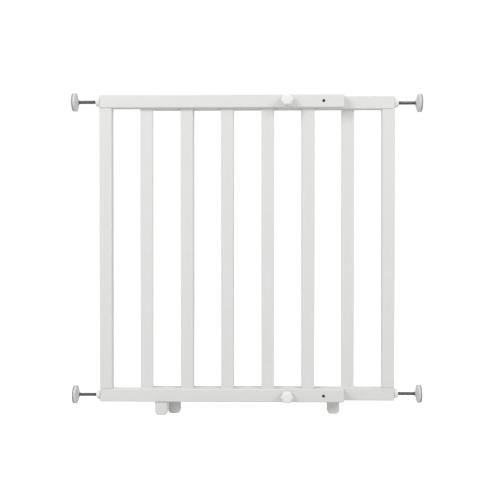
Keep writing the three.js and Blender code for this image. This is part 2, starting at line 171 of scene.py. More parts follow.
class GateClampSettings(bpy.types.PropertyGroup):
    """Sizes of the bolts, washers and knobs that clamp the two frames together."""

    bolt_radius: FloatProperty(
        name="Bolt Radius", default=0.003, unit="LENGTH",
        description="Radius of the bolt's shank",
    )
    bolt_pitch: FloatProperty(
        name="Bolt Pitch", default=0.001, precision=5, unit="LENGTH",
        description="Distance between two turns of the bolt's thread",
    )
    thread_length: FloatProperty(
        name="Thread Length", default=0.022, unit="LENGTH",
        description="Length of thread cut at the bolt's tip",
    )
    knob_lobes: IntProperty(
        name="Knob Lobes", default=6, min=3, max=9,
        description="Number of finger lobes round a knob",
    )
    knob_lobe_depth: FloatProperty(
        name="Knob Lobe Depth", default=0.0019, precision=5, unit="LENGTH",
        description="Depth of the hollows between the lobes",
    )


class GateFinishSettings(bpy.types.PropertyGroup):
    """Colours of the finishes."""

    paint: FloatVectorProperty(
        name="Paint", default=(0.765, 0.765, 0.76), subtype="COLOR",
        description="White paint of the wooden frames",
    )
    undercoat: FloatVectorProperty(
        name="Undercoat", default=(0.66, 0.655, 0.64), subtype="COLOR",
        description="Duller coat that shows where an edge is rubbed",
    )
    # Raw wood of the bores, made darker than bare wood so that it also stands for painted shade inside the
    # openings.
    drilled_wood_and_shade: FloatVectorProperty(
        name="Drilled Wood And Shade", default=(0.15, 0.11, 0.08), subtype="COLOR",
        description="Raw wood inside the bolt holes, slots and bores",
    )
    beech: FloatVectorProperty(
        name="Beech", default=(0.56, 0.39, 0.24), subtype="COLOR",
        description="Bare wood of the dowels",
    )
    plastic: FloatVectorProperty(
        name="Plastic", default=(0.88, 0.88, 0.88), subtype="COLOR",
        description="White plastic of the knobs, nuts and bushings",
    )
    pad_plastic: FloatVectorProperty(
        name="Pad Plastic", default=(0.68, 0.68, 0.68), subtype="COLOR",
        description="Slightly greyer plastic of the wall pads' cups",
    )
    rubber: FloatVectorProperty(
        name="Rubber", default=(0.37, 0.37, 0.365), subtype="COLOR",
        description="Off-white rubber of the wall pads",
    )
    zinc: FloatVectorProperty(
        name="Zinc", default=(0.25, 0.25, 0.255), subtype="COLOR",
        description="Plated steel of the rods, bolts, washers and screws",
    )


class GateStudioSettings(bpy.types.PropertyGroup):
    """Camera and soft lights of the studio."""

    camera_place: FloatVectorProperty(
        name="Camera Place", default=(0.0384, -1.7157, 0.3980),
        subtype="TRANSLATION", unit="LENGTH",
        description="Where the camera stands",
    )
    camera_turn: FloatVectorProperty(
        name="Camera Turn", default=(math.pi / 2 - 0.0117, 0.0, 0.0191), subtype="EULER",
        description="How the camera is turned: nearly level, and a little to the left",
    )
    camera_lens: FloatProperty(
        name="Camera Lens", default=53.9, min=10, max=200,
        description="Focal length in millimetres on a 36 mm sensor",
    )
    key_power: FloatProperty(
        name="Key Power", default=31.5, unit="POWER",
        description="Power of the soft light at the upper left",
    )
    fill_power: FloatProperty(
        name="Fill Power", default=22.5, unit="POWER",
        description="Power of the soft light at the upper right",
    )
    top_power: FloatProperty(
        name="Top Power", default=8.0, unit="POWER",
        description="Power of the soft light overhead",
    )
    room_light: FloatProperty(
        name="Room Light", default=0.55, min=0.0, max=2.0,
        description="Brightness of the white room all round",
    )


# ---- mesh helpers

HOLE_SIDES = 24
THREAD_STEPS = 20


def middle(low, high):
    """The centre of a box."""
    return (low + high) / 2


def box_mesh(low, high):
    """A bmesh of the box between two corners, with marks for rubbed edges and for bores of raw wood
    darkened as painted shade.
    """
    bm = bmesh.new()
    bm.verts.layers.float.new(EDGE_RUB)
    bm.verts.layers.float.new(BORE_WOOD_AND_SHADE)
    place = Matrix.Translation(middle(low, high)) @ Matrix.Diagonal((*(high - low), 1.0))
    bmesh.ops.create_cube(bm, size=1.0, matrix=place)
    return bm


def round_edges(bm, edges, radius, segments):
    """Rounds edges, and marks the rounding so that the paint can be rubbed there."""
    rub = bm.verts.layers.float[EDGE_RUB]
    made = bmesh.ops.bevel(
        bm, geom=edges, offset=radius, offset_type="OFFSET", affect="EDGES",
        segments=segments, profile=0.5, material=-1, clamp_overlap=True,
    )
    strips = set(made["faces"])
    for vert in made["verts"]:
        if all(face in strips for face in vert.link_faces):
            vert[rub] = 1.0


def face_towards(bm, direction):
    """The largest face that looks in a direction."""
    aim = Vector(direction)
    bm.normal_update()
    looking = [face for face in bm.faces if face.normal.dot(aim) > 0.999]
    return max(looking, key=lambda face: face.calc_area())


def loop_edges(verts):
    """The edges that join a ring of vertices to each other."""
    ring = set(verts)
    return list({e for v in verts for e in v.link_edges if e.other_vert(v) in ring})


def round_loop(bm, centre, axis, radius, half_travel=0.0, capped=False):
    """A ring of edges round an axis. half_travel pulls its halves apart along X, for a slot's outline."""
    lean = UPWARDS.rotation_difference(Vector(axis)).to_matrix().to_4x4()
    half_step = Matrix.Rotation(math.pi / HOLE_SIDES, 4, "Z")
    place = Matrix.Translation(centre) @ lean @ half_step
    made = bmesh.ops.create_circle(bm, cap_ends=capped, segments=HOLE_SIDES, radius=radius, matrix=place)
    verts = made["verts"]
    if half_travel:
        for side in (-1, 1):
            half = [v for v in verts if (v.co.x - centre.x) * side > 0]
            bmesh.ops.translate(bm, verts=half, vec=(side * half_travel, 0, 0))
    return loop_edges(verts)


def open_face(bm, face, mouths):
    """Replaces a flat face by one with openings, whose mouths are rings of edges in its plane."""
    border = list(face.edges)
    looks = face.normal.copy()
    bmesh.ops.delete(bm, geom=[face], context="FACES_ONLY")
    rings = [edge for mouth in mouths for edge in mouth]
    bmesh.ops.triangle_fill(bm, use_beauty=True, edges=border + rings, normal=looks)


def mark_shaded_bore(bm, rings):
    """Marks rings of edges as drilled wood that the paint doesn't reach, darkened further as painted shade
    inside the opening.
    """
    raw_and_shade = bm.verts.layers.float[BORE_WOOD_AND_SHADE]
    for edge in (edge for ring in rings for edge in ring):
        for vert in edge.verts:
            vert[raw_and_shade] = 1.0


def bridge_rings(bm, rings):
    """Walls between each ring of edges and the next."""
    for first, second in zip(rings, rings[1:]):
        bmesh.ops.bridge_loops(bm, edges=first + second)


def through_openings(bm, low, high, places, radius, lip):
    """Cuts openings from front face to back face. places holds (x, z, half_travel) of each."""
    steps = (
        (low.y, radius + lip), (low.y + lip, radius),
        (high.y - lip, radius), (high.y, radius + lip),
    )
    tunnels = []
    for x, z, half_travel in places:
        rings = [round_loop(bm, Vector((x, y, z)), (0, 1, 0), size, half_travel) for y, size in steps]
        tunnels.append(rings)
    open_face(bm, face_towards(bm, (0, -1, 0)), [rings[0] for rings in tunnels])
    open_face(bm, face_towards(bm, (0, 1, 0)), [rings[-1] for rings in tunnels])
    for rings in tunnels:
        bridge_rings(bm, rings)
        mark_shaded_bore(bm, rings[1:-1])


def blind_bore(bm, mouth, aim, steps):
    """Sinks a stepped bore into the face it starts on. steps holds (depth, radius), from mouth to end."""
    rings = []
    for count, (depth, radius) in enumerate(steps):
        last = count == len(steps) - 1
        rings.append(round_loop(bm, mouth + aim * depth, aim, radius, capped=last))
    open_face(bm, face_towards(bm, -aim), rings[:1])
    bridge_rings(bm, rings)
    mark_shaded_bore(bm, rings[1:])


def spin_round_z(bm, geometry, rise, steps, merge):
    """Turns a profile once round Z, lifting it a little at each step."""
    bmesh.ops.spin(
        bm, geom=geometry, cent=(0, 0, 0), axis=(0, 0, 1), dvec=(0, 0, rise),
        angle=math.tau, steps=steps, use_merge=merge,
    )


def turned_mesh(profile, steps=48, closed=False):
    """A solid turned round Z from (radius, z) points in millimetres. A closed profile gives a ring."""
    bm = bmesh.new()
    verts = [bm.verts.new((radius * MM, 0.0, z * MM)) for radius, z in profile]
    pairs = list(zip(verts, verts[1:])) + ([(verts[-1], verts[0])] if closed else [])
    edges = [bm.edges.new(pair) for pair in pairs]
    spin_round_z(bm, verts + edges, 0.0, steps, True)
    bmesh.ops.remove_doubles(bm, verts=bm.verts, dist=1e-6)
    bmesh.ops.dissolve_degenerate(bm, edges=bm.edges, dist=1e-7)
    bmesh.ops.recalc_face_normals(bm, faces=bm.faces)
    return bm


def lobed_mesh(rings, lobes, depth, closed, steps_per_lobe=12):
    """A solid lofted along Z from rings of (radius, z) in millimetres and a share of the lobes' depth."""
    bm = bmesh.new()
    segments = lobes * steps_per_lobe
    loops = []
    for count, (radius_mm, z_mm, share) in enumerate(rings):
        capped = not closed and count in (0, len(rings) - 1)
        radius = radius_mm * MM
        place = Matrix.Translation((0, 0, z_mm * MM))
        made = bmesh.ops.create_circle(bm, cap_ends=capped, segments=segments, radius=radius, matrix=place)
        verts = sorted(made["verts"], key=lambda v: math.atan2(v.co.y, v.co.x) % math.tau)
        for phase in range(steps_per_lobe):
            hollow = 0.5 - 0.5 * math.cos(math.tau * phase / steps_per_lobe)
            scale = 1.0 - share * depth * hollow / radius
            bmesh.ops.scale(bm, verts=verts[phase::steps_per_lobe], vec=(scale, scale, 1.0))
        loops.append(loop_edges(verts))
    bridge_rings(bm, loops + (loops[:1] if closed else []))
    bmesh.ops.recalc_face_normals(bm, faces=bm.faces)
    return bm


def threaded_mesh(radius, pitch, depth, length):
    """A threaded rod from z = 0 to z = length: one turn, doubled until it is long enough, then cut."""
    bm = bmesh.new()
    root = radius - depth
    crest_start, crest_end = 0.42, 0.58
    shape = ((root, 0.0), (radius, crest_start), (radius, crest_end), (root, 1.0))
    spare_turns = 2
    verts = [bm.verts.new((r, 0.0, (share - spare_turns) * pitch)) for r, share in shape]
    edges = [bm.edges.new(pair) for pair in zip(verts, verts[1:])]
    spin_round_z(bm, verts + edges, pitch / THREAD_STEPS, THREAD_STEPS, False)
    turns = 1
    while turns * pitch < length + 2 * spare_turns * pitch:
        copied = bmesh.ops.duplicate(bm, geom=bm.verts[:] + bm.edges[:] + bm.faces[:])
        more = [item for item in copied["geom"] if isinstance(item, bmesh.types.BMVert)]
        bmesh.ops.translate(bm, verts=more, vec=(0, 0, turns * pitch))
        turns *= 2
    bmesh.ops.remove_doubles(bm, verts=bm.verts, dist=1e-5)
    for height, outside in ((0.0, -1.0), (length, 1.0)):
        bmesh.ops.bisect_plane(
            bm, geom=bm.verts[:] + bm.edges[:] + bm.faces[:], dist=1e-7,
            plane_co=(0, 0, height), plane_no=(0, 0, outside), clear_outer=True,
        )
        open_edges = [e for e in bm.edges if e.is_boundary]
        rim = [e for e in open_edges if all(abs(v.co.z - height) < 1e-6 for v in e.verts)]
        bmesh.ops.holes_fill(bm, edges=rim, sides=0)
    bmesh.ops.recalc_face_normals(bm, faces=bm.faces)
    return bm


def add_mesh(bm, other):
    """Adds another bmesh's shells to a bmesh."""
    keeper = bpy.data.meshes.new("joined")
    other.to_mesh(keeper)
    other.free()
    bm.from_mesh(keeper)
    bpy.data.meshes.remove(keeper)


def point_along(bm, start, direction):
    """Moves a shape that was made along Z to its place, with Z turned to a direction."""
    turn = UPWARDS.rotation_difference(direction).to_matrix().to_4x4()
    bmesh.ops.transform(bm, matrix=Matrix.Translation(start) @ turn, verts=bm.verts)


def round_box(node, aim):
    """Where a round node starts along a direction, with its length and its radius in millimetres."""
    low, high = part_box(node)
    size = high - low
    length = abs(size.dot(aim))
    across = size.y if aim.x else size.x
    return middle(low, high) - aim * (length / 2), length / MM, across / 2 / MM


def add_object(name, data):
    """Puts a mesh, light or camera into the scene."""
    made = bpy.data.objects.new(name, data)
    bpy.context.scene.collection.objects.link(made)
    return made


def finish_piece(style, bm, material, node, sharp_degrees=40.0, weighted=True):
    """Turns a bmesh into a piece that stands for a CAD node and rides on its body."""
    bmesh.ops.recalc_face_normals(bm, faces=bm.faces)
    limit = math.radians(sharp_degrees)
    for face in bm.faces:
        face.smooth = True
    for edge in bm.edges:
        edge.smooth = edge.calc_face_angle(0.0) < limit
    mesh = bpy.data.meshes.new(f"{style}_{node}")
    bm.to_mesh(mesh)
    bm.free()
    mesh.materials.append(material)
    piece = add_object(mesh.name, mesh)
    if weighted:
        modifier = piece.modifiers.new("Flat faces stay flat", "WEIGHTED_NORMAL")
        modifier.keep_sharp = True
        modifier.weight = 100
    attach(piece, frame["nodes"][node]["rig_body"])
    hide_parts(node)


# ---- finishes


def new_group(name, values, results):
    """An empty shader node group that takes a vector and named values, and gives named results."""
    group = bpy.data.node_groups.new(name, "ShaderNodeTree")
    group.interface.new_socket(name="Vector", in_out="INPUT", socket_type="NodeSocketVector")
    for label, value in values.items():
        socket = group.interface.new_socket(name=label, in_out="INPUT", socket_type="NodeSocketFloat")
        socket.default_value = value
    for label in results:
        group.interface.new_socket(name=label, in_out="OUTPUT", socket_type="NodeSocketFloat")
    return group, group.nodes.new("NodeGroupInput"), group.nodes.new("NodeGroupOutput")


def set_values(node, values):
    """Sets the values of a node's named inputs."""
    for label, value in values.items():
        node.inputs[label].default_value = value


def noise(tree, vector, scale, detail, roughness=0.55, distortion=0.0):
    """A noise texture that reads a vector."""
    node = tree.nodes.new("ShaderNodeTexNoise")
    set_values(node, {"Scale": scale, "Detail": detail, "Roughness": roughness, "Distortion": distortion})
    tree.links.new(vector, node.inputs["Vector"])
    return node


def spread(tree, value, low, high, to_low=0.0, to_high=1.0):
    """A Map Range node from low..high to to_low..to_high."""
    node = tree.nodes.new("ShaderNodeMapRange")
    set_values(node, {"From Min": low, "From Max": high, "To Min": to_low, "To Max": to_high})
    tree.links.new(value, node.inputs["Value"])
    return node.outputs["Result"]


def combine(tree, operation, first, second):
    """A Math node on two values, each a socket or a number."""
    node = tree.nodes.new("ShaderNodeMath")
    node.operation = operation
    for socket, value in zip(node.inputs, (first, second)):
        if isinstance(value, (int, float)):
            socket.default_value = value
        else:
            tree.links.new(value, socket)
    return node.outputs[0]


def blend_colours(tree, factor, first, second):
    """A colour mix, each colour a socket or three numbers."""
    node = tree.nodes.new("ShaderNodeMix")
    node.data_type = "RGBA"
    tree.links.new(factor, node.inputs[0])
    for socket, value in zip(node.inputs[6:8], (first, second)):
        if isinstance(value, bpy.types.NodeSocket):
            tree.links.new(value, socket)
        else:
            socket.default_value = (*value, 1.0)
    return node.outputs[2]


def vertex_mark(tree, name):
    """A mark that the mesh carries on its vertices."""
    node = tree.nodes.new("ShaderNodeAttribute")
    node.attribute_name = name
    return node.outputs["Fac"]


def long_grain_group():
    """Wood grain that shows faintly through paint. Its vector comes stretched along the grain."""
    name = "Long grain"
    if name in bpy.data.node_groups:
        return bpy.data.node_groups[name]
    group, source, sink = new_group(name, {"Contrast": 1.0}, ("Height", "Streaks"))
    vector = source.outputs["Vector"]
    fibres = noise(group, vector, 3.2, 5.0, 0.6, 0.15).outputs["Fac"]
    bands = noise(group, vector, 0.8, 2.0, 0.5, 0.4).outputs["Fac"]
    pores = spread(group, noise(group, vector, 9.0, 1.0).outputs["Fac"], 0.55, 0.75)
    raised = combine(group, "MULTIPLY", fibres, 0.6)
    rolling = combine(group, "MULTIPLY", bands, 0.4)
    height = combine(group, "ADD", raised, rolling)
    height = combine(group, "SUBTRACT", height, combine(group, "MULTIPLY", pores, 0.15))
    height = combine(group, "MULTIPLY", height, source.outputs["Contrast"])
    streaks = combine(group, "MULTIPLY", spread(group, bands, 0.3, 0.7), fibres)
    group.links.new(height, sink.inputs["Height"])
    group.links.new(streaks, sink.inputs["Streaks"])
    return group


def mottling_group():
    """Slow unevenness of colour."""
    name = "Slow mottling"
    if name in bpy.data.node_groups:
        return bpy.data.node_groups[name]
    group, source, sink = new_group(name, {"Patch Scale": 18.0, "Strength": 1.0}, ("Factor",))
    patches = noise(group, source.outputs["Vector"], 18.0, 4.0, 0.5)
    group.links.new(source.outputs["Patch Scale"], patches.inputs["Scale"])
    factor = spread(group, patches.outputs["Fac"], 0.32, 0.68)
    factor = combine(group, "MULTIPLY", factor, source.outputs["Strength"])
    group.links.new(factor, sink.inputs["Factor"])
    return group


def edge_rub_group():
    """A patchy mask of the rounded edges, where hands and cloths rub."""
    name = "Rubbed edges"
    if name in bpy.data.node_groups:
        return bpy.data.node_groups[name]
    group, source, sink = new_group(name, {"Patch Scale": 60.0, "Strength": 0.5}, ("Mask",))
    patches = noise(group, source.outputs["Vector"], 60.0, 3.0, 0.6)
    group.links.new(source.outputs["Patch Scale"], patches.inputs["Scale"])
    patchy = spread(group, patches.outputs["Fac"], 0.42, 0.7)
    mask = combine(group, "MULTIPLY", vertex_mark(group, EDGE_RUB), patchy)
    mask = combine(group, "MULTIPLY", mask, source.outputs["Strength"])
    group.links.new(mask, sink.inputs["Mask"])
    return group


def stipple_group():
    """Fine grain of a mould or of sprayed paint, and a slower drift of its sheen."""
    name = "Fine stipple"
    if name in bpy.data.node_groups:
        return bpy.data.node_groups[name]
    group, source, sink = new_group(name, {"Grain Scale": 1500.0}, ("Height", "Sheen"))
    grain = noise(group, source.outputs["Vector"], 1500.0, 2.0, 0.5)
    group.links.new(source.outputs["Grain Scale"], grain.inputs["Scale"])
    flow = noise(group, source.outputs["Vector"], 90.0, 3.0, 0.5, 0.6)
    group.links.new(grain.outputs["Fac"], sink.inputs["Height"])
    group.links.new(spread(group, flow.outputs["Fac"], 0.3, 0.7), sink.inputs["Sheen"])
    return group


def start_material(name):
    """A material with its tree, its shader and its Object coordinates."""
    material = bpy.data.materials.new(name)
    material.use_nodes = True
    tree = material.node_tree
    shader = tree.nodes["Principled BSDF"]
    place = tree.nodes.new("ShaderNodeTexCoord").outputs["Object"]
    return material, tree, shader, place


def stretched(tree, place, scale):
    """Object coordinates stretched by a Mapping node."""
    node = tree.nodes.new("ShaderNodeMapping")
    node.inputs["Scale"].default_value = scale
    tree.links.new(place, node.inputs["Vector"])
    return node.outputs["Vector"]


def placed(tree, group, vector, **values):
    """A node group in a material, with its vector and its own values."""
    node = tree.nodes.new("ShaderNodeGroup")
    node.node_tree = group
    tree.links.new(vector, node.inputs["Vector"])
    set_values(node, {label.replace("_", " "): value for label, value in values.items()})
    return node


def relief(tree, shader, height, strength, distance):
    """A Bump node from a height to the shader's Normal."""
    node = tree.nodes.new("ShaderNodeBump")
    set_values(node, {"Strength": strength, "Distance": distance})
    tree.links.new(height, node.inputs["Height"])
    tree.links.new(node.outputs["Normal"], shader.inputs["Normal"])


def shaded(colour, shades):
    """A colour with each channel dimmed by its share."""
    return tuple(channel * shade for channel, shade in zip(colour, shades))


def painted_wood(along):
    """White satin paint over wood whose grain runs along X or Z."""
    name = f"White painted wood along {along}"
    if name in bpy.data.materials:
        return bpy.data.materials[name]
    finishes = bpy.context.scene.gate_finishes
    material, tree, shader, place = start_material(name)
    scale = (5.0, 110.0, 110.0) if along == "X" else (110.0, 110.0, 5.0)
    grain = placed(tree, long_grain_group(), stretched(tree, place, scale), Contrast=1.0)
    mottling = placed(tree, mottling_group(), place, Patch_Scale=14.0, Strength=0.55)
    rubbed = placed(tree, edge_rub_group(), place, Patch_Scale=85.0, Strength=0.5)
    stipple = placed(tree, stipple_group(), place, Grain_Scale=1200.0)
    paint = tuple(finishes.paint)
    tint = combine(tree, "MULTIPLY", grain.outputs["Streaks"], 0.5)
    tint = combine(tree, "ADD", tint, combine(tree, "MULTIPLY", mottling.outputs["Factor"], 0.5))
    colour = blend_colours(tree, tint, paint, shaded(paint, (0.965, 0.96, 0.945)))
    colour = blend_colours(tree, rubbed.outputs["Mask"], colour, finishes.undercoat)
    # Bores blend to a dark raw wood: partly the wood's own colour, partly painted shade inside the
    # openings.
    colour = blend_colours(tree, vertex_mark(tree, BORE_WOOD_AND_SHADE), colour, finishes.drilled_wood_and_shade)
    tree.links.new(colour, shader.inputs["Base Color"])
    gloss = combine(tree, "MULTIPLY", grain.outputs["Streaks"], 0.35)
    gloss = combine(tree, "ADD", gloss, stipple.outputs["Sheen"])
    tree.links.new(spread(tree, gloss, 0.0, 1.4, 0.40, 0.54), shader.inputs["Roughness"])
    height = combine(tree, "MULTIPLY", stipple.outputs["Height"], 0.18)
    height = combine(tree, "ADD", height, grain.outputs["Height"])
    relief(tree, shader, height, 0.35, 0.0003)
    shader.inputs["Specular IOR Level"].default_value = 0.45
    return material


def bare_beech():
    """Turned beech of the hidden dowels."""
    name = "Bare beech"
    if name in bpy.data.materials:
        return bpy.data.materials[name]
    beech = tuple(bpy.context.scene.gate_finishes.beech)
    material, tree, shader, place = start_material(name)
    grain = placed(tree, long_grain_group(), stretched(tree, place, (260.0, 260.0, 14.0)), Contrast=1.0)
    streaks = spread(tree, grain.outputs["Streaks"], 0.1, 0.6)
    colour = blend_colours(tree, streaks, beech, shaded(beech, (0.72, 0.72, 0.72)))
    tree.links.new(colour, shader.inputs["Base Color"])
    tree.links.new(spread(tree, grain.outputs["Height"], 0.2, 0.8, 0.72, 0.58), shader.inputs["Roughness"])
    relief(tree, shader, grain.outputs["Height"], 0.5, 0.0002)
    return material


def even_finish(name, tone, worn, patches, grain_scale, roughness, bump):
    """An even finish in a colour of the settings, mottled towards a worn shade, with fine stipple.

    patches holds the mottling's scale and strength, and bump the stipple's strength and height.
    """
    if name in bpy.data.materials:
        return bpy.data.materials[name]
    clean = tuple(getattr(bpy.context.scene.gate_finishes, tone))
    material, tree, shader, place = start_material(name)
    stipple = placed(tree, stipple_group(), place, Grain_Scale=grain_scale)
    mottling = placed(tree, mottling_group(), place, Patch_Scale=patches[0], Strength=patches[1])
    colour = blend_colours(tree, mottling.outputs["Factor"], clean, shaded(clean, worn))
    tree.links.new(colour, shader.inputs["Base Color"])
    dulled = spread(tree, stipple.outputs["Sheen"], 0.0, 1.0, *roughness)
    tree.links.new(dulled, shader.inputs["Roughness"])
    relief(tree, shader, stipple.outputs["Height"], *bump)
    return material


def moulded_plastic(name="White moulded plastic", tone="plastic"):
    """Injection-moulded plastic with a soft gloss."""
    worn = (0.955, 0.955, 0.945)
    return even_finish(name, tone, worn, (70.0, 0.6), 2600.0, (0.30, 0.42), (0.25, 0.00006))


def moulded_rubber():
    """Matt off-white rubber."""
    worn = (0.90, 0.90, 0.89)
    bump = (0.5, 0.0001)
    return even_finish("Off-white rubber", "rubber", worn, (120.0, 0.8), 1800.0, (0.62, 0.78), bump)


def zinc_steel():
    """Zinc-plated steel with slow dull patches."""
    worn = (0.74, 0.74, 0.76)
    bump = (0.15, 0.00004)
    material = even_finish("Zinc plated steel", "zinc", worn, (160.0, 1.0), 3200.0, (0.24, 0.40), bump)
    material.node_tree.nodes["Principled BSDF"].inputs["Metallic"].default_value = 1.0
    return material


# ---- wooden pieces


def outwards(corner):
    """The direction from the gate to the wall on the left or on the right."""
    return Vector((-1, 0, 0)) if corner.startswith("left") else Vector((1, 0, 0))


def make_rail(node):
    """A rounded rail with its bolt openings and the blind bore for its spindle."""
    sizes = bpy.context.scene.gate_frame
    low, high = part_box(node)
    centre = middle(low, high)
    bm = box_mesh(low, high)
    round_edges(bm, bm.edges[:], sizes.edge_radius, 4)
    row = node.split("_")[1]
    if node.startswith("front"):
        side = "left"
        bolt = middle(*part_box(f"{row}_bolt"))
        spare_x = high.x - sizes.spare_hole_inset
        places = [(bolt.x, centre.z, 0.0), (spare_x, centre.z, 0.0)]
        end = Vector((low.x, centre.y, centre.z))
    else:
        side = "right"
        first = low.x + sizes.slot_inner_inset
        last = high.x - sizes.slot_outer_inset
        places = [((first + last) / 2, centre.z, (last - first) / 2)]
        end = Vector((high.x, centre.y, centre.z))
    through_openings(bm, low, high, places, sizes.opening_radius, sizes.opening_lip)
    bush_low, bush_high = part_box(f"{side}_{row}_bushing")
    clearance = 0.3 * MM
    bush_radius = (bush_high.y - bush_low.y) / 2 + clearance
    bush_depth = bush_high.x - bush_low.x + 2 * clearance
    lip = 0.3 * MM
    bore = sizes.spindle_bore_radius
    steps = (
        (0.0, bush_radius + lip), (lip, bush_radius), (bush_depth, bush_radius),
        (bush_depth, bore), (sizes.spindle_bore_depth, bore),
    )
    blind_bore(bm, end, -outwards(side), steps)
    finish_piece("painted", bm, painted_wood("X"), node)


def make_upright(node, low, high, radius):
    """An upright piece of a frame between two corners, with its long edges rounded."""
    bm = box_mesh(low, high)
    least_height = 0.1
    upright = [e for e in bm.edges if abs(e.verts[0].co.z - e.verts[1].co.z) > least_height]
    round_edges(bm, upright, radius, 4)
    finish_piece("painted", bm, painted_wood("Z"), node)


def make_post(node):
    """A post that stands between the two rails."""
    low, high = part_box(node)
    make_upright(node, low, high, bpy.context.scene.gate_frame.edge_radius)


def make_slat(node):
    """A thin slat, let into both rails."""
    sizes = bpy.context.scene.gate_frame
    low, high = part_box(node)
    side = node.split("_")[0]
    low.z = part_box(f"{side}_bottom_rail")[1].z - sizes.slat_seat
    high.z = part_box(f"{side}_top_rail")[0].z + sizes.slat_seat
    make_upright(node, low, high, sizes.slat_edge_radius)


def make_foot(node):
    """A block foot with two rounded lower corners and a counterbore for its screw."""
    sizes = bpy.context.scene.gate_frame
    low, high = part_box(node)
    screw_low, screw_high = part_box(f"{node}_screw")
    bm = box_mesh(low, high)
    lowest = [e for e in bm.edges if all(v.co.z < low.z + MM for v in e.verts)]
    corners = [e for e in lowest if abs(e.verts[0].co.y - e.verts[1].co.y) > MM]
    round_edges(bm, corners, sizes.foot_corner_radius, 8)
    outline = [e for e in bm.edges if e.calc_face_angle(0.0) > math.radians(60)]
    round_edges(bm, outline, sizes.foot_edge_radius, 3)
    mouth = middle(screw_low, screw_high)
    mouth.z = low.z
    recess = sizes.screw_recess_radius
    lip, seat = 0.3 * MM, 3.2 * MM
    depth = screw_low.z + seat - low.z
    pilot = recess * 0.6
    blind_bore(bm, mouth, UPWARDS, ((0.0, recess + lip), (lip, recess), (depth, recess), (depth, pilot)))
    finish_piece("painted", bm, painted_wood("Z"), node)


def make_foot_screw(node):
    """A wood screw driven up through a foot, with a pan head and a recess for the driver."""
    start, length, head = round_box(node, UPWARDS)
    head_height, neck, neck_height = 3.0, 1.6, 5.0
    drive, drive_depth = 1.3, 1.4
    root, crest, pitch, tip = 1.25, 2.0, 1.4, 2.5
    profile = [
        (0.0, drive_depth), (drive, drive_depth), (drive + 0.1, 0.1),
        (head - 0.9, 0.0), (head - 0.2, 0.5), (head, 1.3),
        (head, head_height - 0.2), (head - 0.2, head_height),
        (neck, head_height), (neck, head_height + neck_height),
    ]
    z = head_height + neck_height
    while z < length - 2 * tip:
        profile += [(crest, z + 0.45), (root, z + pitch)]
        z += pitch
    profile += [(0.9, length - tip), (0.0, length)]
    bm = turned_mesh(profile, 24)
    point_along(bm, start, UPWARDS)
    finish_piece("driven", bm, zinc_steel(), node)


# ---- spindle pieces


def make_hand_nut(corner):
    """A hand nut: a plain flange against the rail and a ribbed grip, with a hole for the rod."""
    sizes = bpy.context.scene.gate_spindles
    node = f"{corner}_nut"
    aim = outwards(corner)
    start, length, flange = round_box(node, aim)
    grip = flange - 1.5
    hole = 4.25
    flange_end = 3.0
    rings = [
        (hole, 0.5, 0.0), (hole + 0.5, 0.0, 0.0),
        (flange - 0.4, 0.0, 0.0), (flange, 0.4, 0.0),
        (flange, flange_end - 0.5, 0.0), (flange - 0.5, flange_end, 0.0),
        (grip + 0.3, flange_end, 1.0), (grip, flange_end + 0.3, 1.0),
        (grip - 0.1, length - 0.9, 1.0), (grip - 0.4, length - 0.3, 0.8), (grip - 1.1, length, 0.3),
        (hole + 1.6, length, 0.0), (hole + 1.1, length - 0.4, 0.0),
        (hole + 0.5, length - 0.4, 0.0), (hole, length - 0.9, 0.0),
    ]
    bm = lobed_mesh(rings, sizes.nut_ribs, sizes.nut_rib_depth, True, 8)
    point_along(bm, start, aim)
    finish_piece("ribbed", bm, moulded_plastic(), node)


def make_rod(corner):
    """A rod threaded over its whole length."""
    sizes = bpy.context.scene.gate_spindles
    node = f"{corner}_rod"
    aim = outwards(corner)
    start, length, radius = round_box(node, aim)
    bm = threaded_mesh(radius * MM, sizes.thread_pitch, sizes.thread_depth, length * MM)
    point_along(bm, start, aim)
    finish_piece("threaded", bm, zinc_steel(), node, 60.0, False)


def make_pad_cup(corner):
    """The domed plastic cup of a wall pad, with a hub that holds the rod."""
    node = f"{corner}_pad_cup"
    aim = outwards(corner)
    start, length, rim = round_box(node, aim)
    rim_start = length - bpy.context.scene.gate_spindles.pad_rim / MM
    hub = 7.5
    bore, bore_depth = 4.1, 8.3
    profile = (
        (0.0, bore_depth), (bore, bore_depth), (bore, 0.3), (bore + 0.3, 0.0),
        (hub - 0.5, 0.0), (hub - 0.1, 0.25), (hub, 0.8), (hub, 1.9),
        (hub + 0.4, 2.4), (hub + 1.4, 2.7), (hub + 5.0, 3.2), (hub + 8.6, 3.9),
        (rim - 2.4, rim_start - 0.65), (rim - 0.9, rim_start - 0.2),
        (rim - 0.25, rim_start + 0.3), (rim, rim_start + 1.0),
        (rim, length - 0.5), (rim - 0.15, length - 0.15), (rim - 0.5, length), (0.0, length),
    )
    bm = turned_mesh(profile, 64)
    point_along(bm, start, aim)
    plastic = moulded_plastic("Grey-white moulded plastic", "pad_plastic")
    finish_piece("domed", bm, plastic, node, 50.0)


def make_pad_rubber(corner):
    """The soft face of a wall pad, with moulded grip rings."""
    node = f"{corner}_pad_rubber"
    aim = outwards(corner)
    start, length, rim = round_box(node, aim)
    profile = [
        (0.0, 0.0), (rim - 0.5, 0.0), (rim, 0.5),
        (rim, length - 0.8), (rim - 0.25, length - 0.25), (rim - 0.8, length),
    ]
    groove_depth = 0.5
    for groove in (17.0, 13.5, 10.0, 6.5, 3.0):
        profile += [
            (groove, length), (groove - 0.35, length - groove_depth),
            (groove - 1.05, length - groove_depth), (groove - 1.4, length),
        ]
    profile.append((0.0, length))
    bm = turned_mesh(profile, 64)
    point_along(bm, start, aim)
    finish_piece("grooved", bm, moulded_rubber(), node)


# ---- clamp pieces

# Radii in millimetres.
BACK_WASHER_HOLE = 4.6
KNOB_WASHER_HOLE = 3.3


